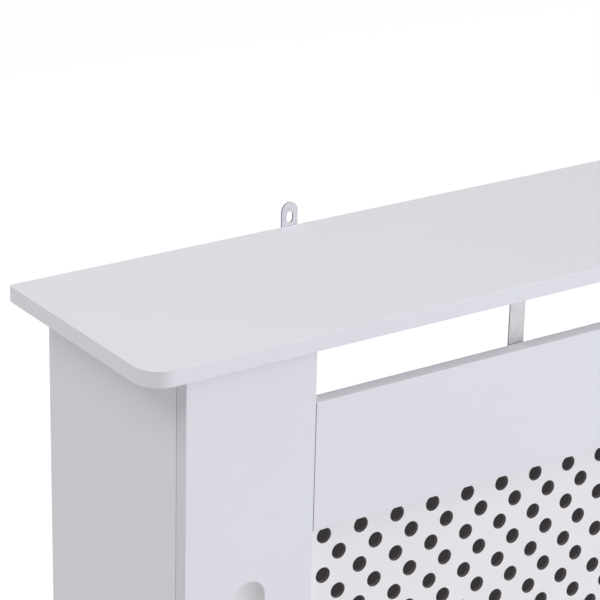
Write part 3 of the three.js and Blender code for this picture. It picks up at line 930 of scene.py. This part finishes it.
def headEnd(node):  # where a screw's head sits, the way it faces, and the length under it
    middle, half, radius, index = longAxis(node)
    spare = 0.1 * mm
    along, side = unit(index), screw["shank"] / 2 * mm + spare
    wide = [v.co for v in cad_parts[node].data.vertices
            if (v.co - middle - along * (v.co - middle)[index]).length > side]
    facing = unit(index, 1 if sum(co[index] - middle[index] for co in wide) > 0 else -1)
    head = screw["headHeight"] * mm
    return middle + facing * (half - head), facing, 2 * half - head


def scatterTree():
    tree, given = newGeometryTree("scattered screws", {
        "Geometry": ("Geometry",), "Object": ("Screw",), "Material": ("Steel",)})
    turn = addNode(tree, "GeometryNodeInputNamedAttribute", {"Name": "turn"},
                   data_type="FLOAT_VECTOR")
    turned = addNode(tree, "FunctionNodeEulerToRotation", {"Euler": turn.outputs[0]})
    model = addNode(tree, "GeometryNodeObjectInfo", {"Object": given["Screw"]})
    scattered = realised(tree, given["Geometry"], model.outputs["Geometry"],
                         Rotation=turned.outputs[0])
    plated = coated(tree, scattered, given["Steel"])
    addNode(tree, "NodeGroupOutput", {"Geometry": plated})
    return tree


def makeScrews(name, nodes, tree):
    ends = [headEnd(node) for node in nodes]
    model = pieceFrom("screwModel", meshFrom("screwModel", screwShape(ends[0][2])), brightZinc)
    cutAway(model, crossCutters(screw["cross"] * mm, screw["blade"] * mm, screw["crossDepth"] * mm,
                                screw["headHeight"] * mm, screw["crossTaper"]))
    smoothFaces(model, sharpFrom["small"])
    seats = bpy.data.meshes.new(name)
    seats.from_pydata([place for place, facing, length in ends], [], [])
    turns = seats.attributes.new("turn", "FLOAT_VECTOR", "POINT")
    for i, (place, facing, length) in enumerate(ends):
        turns.data[i].vector = Vector((0, 0, 1)).rotation_difference(facing).to_euler()
    piece = pieceFrom(name, seats, brightZinc)
    runNodes(piece, tree, {"Screw": model, "Steel": brightZinc})
    bpy.data.objects.remove(model)
    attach(piece, "cabinet")
    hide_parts(*nodes)


screwTree = scatterTree()
makeScrews("stripScrews", [n for n in screwNodes if not n.startswith("grille")], screwTree)
makeScrews("grilleScrews", [n for n in screwNodes if n.startswith("grille")], screwTree)
print("screws made")


# ---- cam locks

camLock = {
    "diameter": 12.0,
    "length": 9.5,
    "sides": 64,
    "panel": 12.0,  # thickness of the side panel
    "coreRadius": 1.8,
    "chamberRadius": 5.2,
    "chamberHeight": 4.8,
    "slotHeight": 2.8,
    "sweep": 228,  # degrees
    "headInner": 2.4,
    "cross": (7.0, 1.2, 1.8),  # length, width and depth
    "rimRound": 0.3,
    "through": 1.0,  # how far a cutter reaches past the rim
    "overlap": 0.4,  # how far the entrance reaches into the chamber's ring
    "arrow": (5.3, 4.1, 1.0, 0.4),  # the mark's tip, its base, half its width and its depth
}
camShares = {"rimMiddle": 0.3, "crossTaper": 0.85}


def sectorShape(inner, outer, degrees, low, high, steps=32):
    turns = sweep(0, degrees, steps)
    outline = [(outer * math.cos(a), outer * math.sin(a), low) for a in turns]
    outline += [(inner * math.cos(a), inner * math.sin(a), low) for a in reversed(turns)]
    return extrudeOutline(outline, Vector((0, 0, high - low)))


def camModel():  # open face at z = 0, bolt along -X when locked
    value = {key: (size * mm if isinstance(size, float) else size) for key, size in camLock.items()}
    length, radius, rim = value["length"], value["diameter"] / 2, value["rimRound"]
    chamfer = rim * camShares["rimMiddle"]
    profile = [(0, -length), (radius - rim, -length), (radius, rim - length), (radius, -rim),
               (radius - chamfer, -chamfer), (radius - rim, 0), (0, 0)]
    piece = pieceFrom("camModel", meshFrom("camModel", lathe(profile, value["sides"])), castZinc)
    level = -value["panel"] / 2
    chamber, slot = value["chamberHeight"] / 2, value["slotHeight"] / 2
    past = radius + value["through"]
    core, turn = value["coreRadius"], value["sweep"]
    entrance = bmesh.new()
    bmesh.ops.create_cube(entrance, size=1.0)
    reach = (value["headInner"] - value["overlap"], past)
    for vert in entrance.verts:
        vert.co = Vector((reach[vert.co.x > 0], chamber * (1 if vert.co.y > 0 else -1),
                          level + chamber * (1 if vert.co.z > 0 else -1)))
    cross = [size * mm for size in value["cross"]]
    tip, base, side, depth = (size * mm for size in value["arrow"])
    arrow = [(tip, 0, -depth), (base, side, -depth), (base, -side, -depth)]
    cutters = [
        sectorShape(core, value["chamberRadius"], turn, level - chamber, level + chamber),
        sectorShape(core, past, turn, level - slot, level + slot),
        entrance,
        *crossCutters(*cross, 0.0, camShares["crossTaper"]),
        extrudeOutline(arrow, Vector((0, 0, value["through"])))]
    for cutter in cutters:  # one after another, as they overlap
        cutAway(piece, [cutter])
    return smoothFaces(piece, sharpFrom["small"])


def makeCams():
    model = camModel()
    for node in camNodes:
        low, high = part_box(node)
        hand = -1 if node.startswith("left") else 1
        out = Vector((-hand, 0, 0))
        boltLow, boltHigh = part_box(node.replace("_cam_", "_cam_bolt_"))
        toBolt = (boltLow + boltHigh - low - high) / 2
        toBolt.x = 0
        entrance = -toBolt.normalized()
        face = (low + high) / 2
        face.x = low.x if out.x < 0 else high.x
        axes = Matrix((entrance, out.cross(entrance), out)).transposed().to_4x4()
        mesh = model.data.copy()
        mesh.transform(Matrix.Translation(face) @ axes)
        piece = pieceFrom(camelName(node), mesh, castZinc)
        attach(piece, node)
        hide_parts(node)
    bpy.data.objects.remove(model)


makeCams()
print("cams made")


# ---- cam bolts and dowels

bolt = {
    "head": (4.0, 2.0),  # diameter and length, mm
    "neck": (2.2, 2.4),
    "shank": 4.0,
    "thread": (5.0, 9.0),
    "pitch": 0.8,
    "crest": (0.25, 0.4, 0.75),  # shares of the pitch where the crest starts, ends and falls to
    "headChamfer": 0.5,
    "headRim": 0.2,
    "shankChamfer": 0.3,
    "endChamfer": (0.4, 0.1),  # inward and along
    "sides": 32,
}
pin = {"chamfer": 1.0, "flutes": 20, "fluteDepth": 0.12}


def boltShape(length):  # its head's end is at z = 0 and its thread at the far end
    headRadius, headEnd = bolt["head"][0] / 2 * mm, bolt["head"][1] * mm
    neckRadius, neckEnd = bolt["neck"][0] / 2 * mm, headEnd + bolt["neck"][1] * mm
    shank, (thread, threadLength) = bolt["shank"] / 2 * mm, bolt["thread"]
    crest, start, pitch = thread / 2 * mm, length - threadLength * mm, bolt["pitch"] * mm
    chamfer, rim, step = (bolt[key] * mm for key in ("headChamfer", "headRim", "shankChamfer"))
    endIn, endAlong = (size * mm for size in bolt["endChamfer"])
    profile = [(0, 0), (headRadius - chamfer, 0), (headRadius, chamfer),
               (headRadius, headEnd - rim), (headRadius - rim, headEnd), (neckRadius, headEnd),
               (neckRadius, neckEnd), (shank - step, neckEnd), (shank, neckEnd + step),
               (shank, start)]
    level = start
    while level < length - pitch:
        profile += [(width, level + pitch * share)
                    for width, share in zip((crest, crest, shank), bolt["crest"])]
        level += pitch
    profile += [(shank, length - endAlong), (shank - endIn, length), (0, length)]
    return lathe(profile, bolt["sides"])


def dowelShape(length, radius):  # fluted all round, from z = 0
    chamfer, sides = pin["chamfer"] * mm, 4 * pin["flutes"]
    profile = [(0, 0), (radius - chamfer, 0), (radius, chamfer), (radius, length - chamfer),
               (radius - chamfer, length), (0, length)]
    shape = lathe(profile, sides)
    for vert in shape.verts:
        turn = math.atan2(vert.co.y, vert.co.x) * pin["flutes"]
        sink = 1 - pin["fluteDepth"] * mm / radius * (0.5 - 0.5 * math.cos(turn))
        vert.co.x *= sink
        vert.co.y *= sink
    return shape


def layAlong(shape, start, direction):
    turn = Vector((0, 0, 1)).rotation_difference(direction).to_matrix().to_4x4()
    bmesh.ops.transform(shape, matrix=Matrix.Translation(start) @ turn, verts=shape.verts)
    return shape


def dressPin(node, shape, material):
    name = camelName(node)
    piece = smoothFaces(pieceFrom(name, meshFrom(name, shape), material), sharpFrom["small"])
    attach(piece, "cabinet")
    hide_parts(node)


for node in boltNodes:
    middle, half, radius, index = longAxis(node)
    camLow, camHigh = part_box(node.replace("_cam_bolt_", "_cam_"))
    away = unit(index, 1 if middle[index] > (camLow[index] + camHigh[index]) / 2 else -1)
    dressPin(node, layAlong(boltShape(2 * half), middle - away * half, away),
             brightZinc)

for node in dowelNodes:
    middle, half, radius, index = longAxis(node)
    dressPin(node, layAlong(dowelShape(2 * half, radius), middle - unit(index) * half, unit(index)),
             bareBeech)
print("bolts and dowels made")


# ---- stage

stage = {
    "floorSize": 16.0,
    "floorColour": "#f2f2f2",
    "floorRoughness": 0.9,
    "floorGlow": 0.55,  # seen but lighting nothing: the lit floor is white and the shadow stays
    "ambient": 0.38,
    "skyColour": "#ffffff",
}


def seenOrMirrored(tree):  # 1 for the camera's rays and for reflected ones, otherwise 0
    path = addNode(tree, "ShaderNodeLightPath").outputs
    return mathNode(tree, "MAXIMUM", path["Is Camera Ray"], path["Is Glossy Ray"])


def makeFloor():
    shape = bmesh.new()
    bmesh.ops.create_grid(shape, x_segments=1, y_segments=1, size=stage["floorSize"] / 2)
    material, tree = newMaterial("pale floor")
    glow = mathNode(tree, "MULTIPLY", seenOrMirrored(tree), stage["floorGlow"])
    shader = addNode(tree, "ShaderNodeBsdfPrincipled", {
        "Base Color": paint(stage["floorColour"]), "Roughness": stage["floorRoughness"],
        "Specular IOR Level": 0.0, "Emission Color": (1, 1, 1, 1), "Emission Strength": glow})
    finishMaterial(tree, shader)
    floor = pieceFrom("floor", meshFrom("floor", shape), material)


def makeSky():
    world = bpy.data.worlds.new("studio")
    world.use_nodes = True
    tree = world.node_tree
    tree.nodes.clear()
    strength = addNode(tree, "ShaderNodeMapRange", {
        "Value": seenOrMirrored(tree), "To Min": stage["ambient"], "To Max": 1.0})
    sky = addNode(tree, "ShaderNodeBackground", {
        "Color": paint(stage["skyColour"]), "Strength": strength.outputs["Result"]})
    addNode(tree, "ShaderNodeOutputWorld", {"Surface": sky.outputs[0]})
    scene.world = world


# painted shade behind the holes, where the room behind them was dark: a card behind the grille
# shows it to the camera from the front only
card = {"colour": "#383537", "behind": 1.0, "inset": 2.0}


def makePaintedShadeCard():
    low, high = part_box("grille_panel")
    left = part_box("left_stile")[1].x + card["inset"] * mm
    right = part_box("right_stile")[0].x - card["inset"] * mm
    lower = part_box("bottom_rail")[1].z + card["inset"] * mm
    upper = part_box("top_rail")[0].z - card["inset"] * mm
    y = high.y + card["behind"] * mm
    shape = bmesh.new()
    shape.faces.new([shape.verts.new(p) for p in
                     ((left, y, lower), (right, y, lower), (right, y, upper), (left, y, upper))])
    material, tree = newMaterial("dark card")
    seen = addNode(tree, "ShaderNodeLightPath").outputs["Is Camera Ray"]
    backfacing = addNode(tree, "ShaderNodeNewGeometry").outputs["Backfacing"]
    shown = mathNode(tree, "MULTIPLY", seen, mathNode(tree, "SUBTRACT", 1.0, backfacing))
    # a dark emission: the painted shade seen through the holes
    dark = addNode(tree, "ShaderNodeEmission", {"Color": paint(card["colour"]), "Strength": 1.0})
    clear = addNode(tree, "ShaderNodeBsdfTransparent")
    mixed = addNode(tree, "ShaderNodeMixShader", {0: shown})
    tree.links.new(clear.outputs[0], mixed.inputs[1])
    tree.links.new(dark.outputs[0], mixed.inputs[2])
    finishMaterial(tree, mixed)
    shadeBacking = pieceFrom("darkCard", meshFrom("darkCard", shape), material)


lamps = {
    "key": {"place": (5.5, -4.5, 3.2), "size": 3.2, "power": 140, "colour": "#eef0ff"},
    "low": {"place": (6.0, -4.2, 1.1), "size": 2.6, "power": 205, "colour": "#eef0ff"},
    "overhead": {"place": (-0.3, -1.0, 2.9), "size": 1.5, "power": 12, "colour": "#ffffff"},
    "rear": {"place": (-2.2, 0.0, 2.8), "size": 1.2, "power": 22, "colour": "#f6f7ff"},
}
lampAim = Vector((-0.35, -0.05, 0.75))


def makeLamps():
    for name, values in lamps.items():
        light = bpy.data.lights.new(name, "AREA")
        light.shape = "SQUARE"
        light.size = values["size"]
        light.energy = values["power"]
        light.color = paint(values["colour"])[:3]
        lamp = bpy.data.objects.new(name, light)
        place = Vector(values["place"])
        toward = (lampAim - place).to_track_quat("-Z", "Y")
        lamp.matrix_world = Matrix.Translation(place) @ toward.to_matrix().to_4x4()
        scene.collection.objects.link(lamp)


makeFloor()
makeSky()
makePaintedShadeCard()
makeLamps()
scene.view_settings.view_transform = "Standard"
print("stage set")
